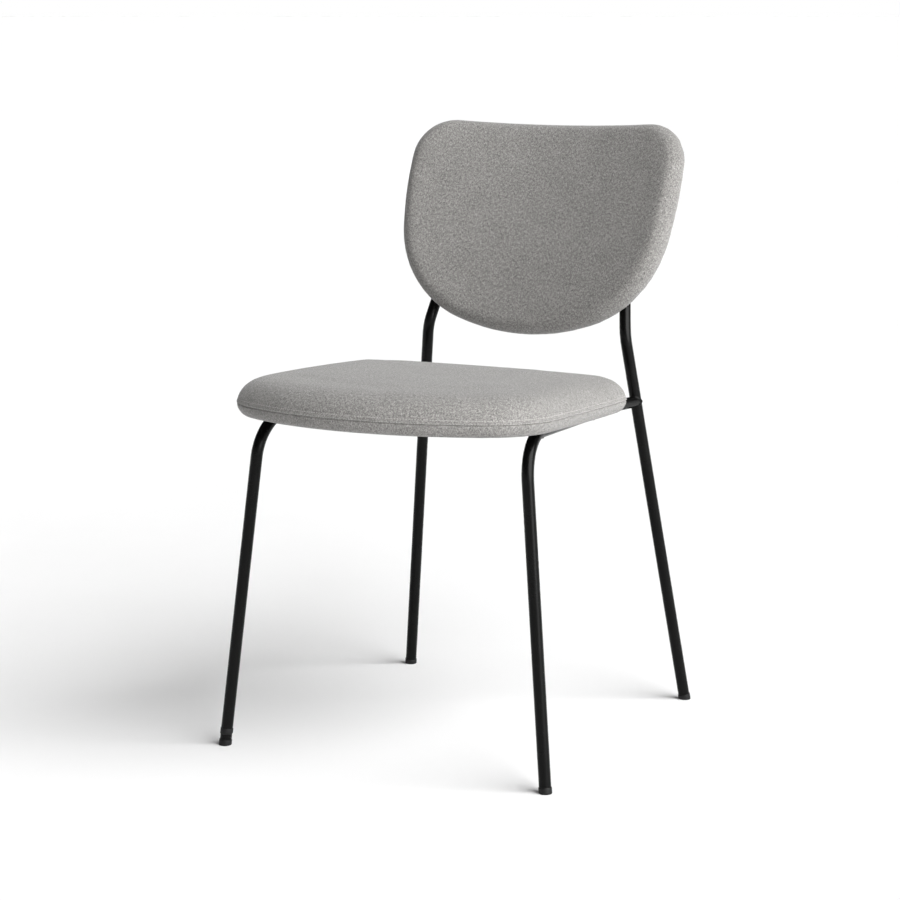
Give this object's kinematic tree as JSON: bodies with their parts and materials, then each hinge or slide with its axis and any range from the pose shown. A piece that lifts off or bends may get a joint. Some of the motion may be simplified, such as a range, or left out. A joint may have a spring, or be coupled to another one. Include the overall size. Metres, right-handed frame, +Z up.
{
  "type": "dining chair",
  "caption": "Armless dining chair with a splayed bent steel tube frame, padded fabric seat and tilted, curved fabric backrest.",
  "frame": {"origin": "on the floor, under the middle of the chair's bounding box", "axes": "+Z up, -Y the way the sitter faces, +X to the right as seen from the front"},
  "size_m": [0.498, 0.6474, 0.8249],
  "materials": {
    "frame_paint": "black powder coat, semi-matt",
    "cap_plastic": "black moulded plastic",
    "screw_black": "black zinc plate",
    "zinc": "bright zinc plate",
    "plywood": "raw moulded plywood",
    "foam": "open-cell polyurethane foam",
    "upholstery": "warm grey melange woven fabric",
    "lining": "black non-woven dust cloth"
  },
  "bodies": {
    "root": {"seat_cover_top": "upholstery", "seat_cover_band": "upholstery", "seat_foam": "foam", "seat_board": "plywood", "seat_dust_cover": "lining", "seat_screw_front_left": "screw_black", "tee_nut_front_left": "zinc", "seat_screw_front_right": "screw_black", "tee_nut_front_right": "zinc", "seat_screw_rear_left": "screw_black", "tee_nut_rear_left": "zinc", "seat_screw_rear_right": "screw_black", "tee_nut_rear_right": "zinc", "back_cover_front": "upholstery", "back_cover_rear": "upholstery", "back_foam_front": "foam", "back_foam_rear": "foam", "back_panel": "plywood", "back_bar_lower": "frame_paint", "back_bar_upper": "frame_paint", "back_screw_lower_left": "zinc", "threaded_insert_lower_left": "zinc", "back_screw_lower_right": "zinc", "threaded_insert_lower_right": "zinc", "back_screw_upper_left": "zinc", "threaded_insert_upper_left": "zinc", "back_screw_upper_right": "zinc", "threaded_insert_upper_right": "zinc", "front_leg_left": "frame_paint", "rear_leg_left": "frame_paint", "foot_cap_front_left": "cap_plastic", "foot_cap_rear_left": "cap_plastic", "front_leg_right": "frame_paint", "rear_leg_right": "frame_paint", "foot_cap_front_right": "cap_plastic", "foot_cap_rear_right": "cap_plastic", "front_cross_rail": "frame_paint", "rear_cross_rail": "frame_paint"}
  },
  "joints": []
}
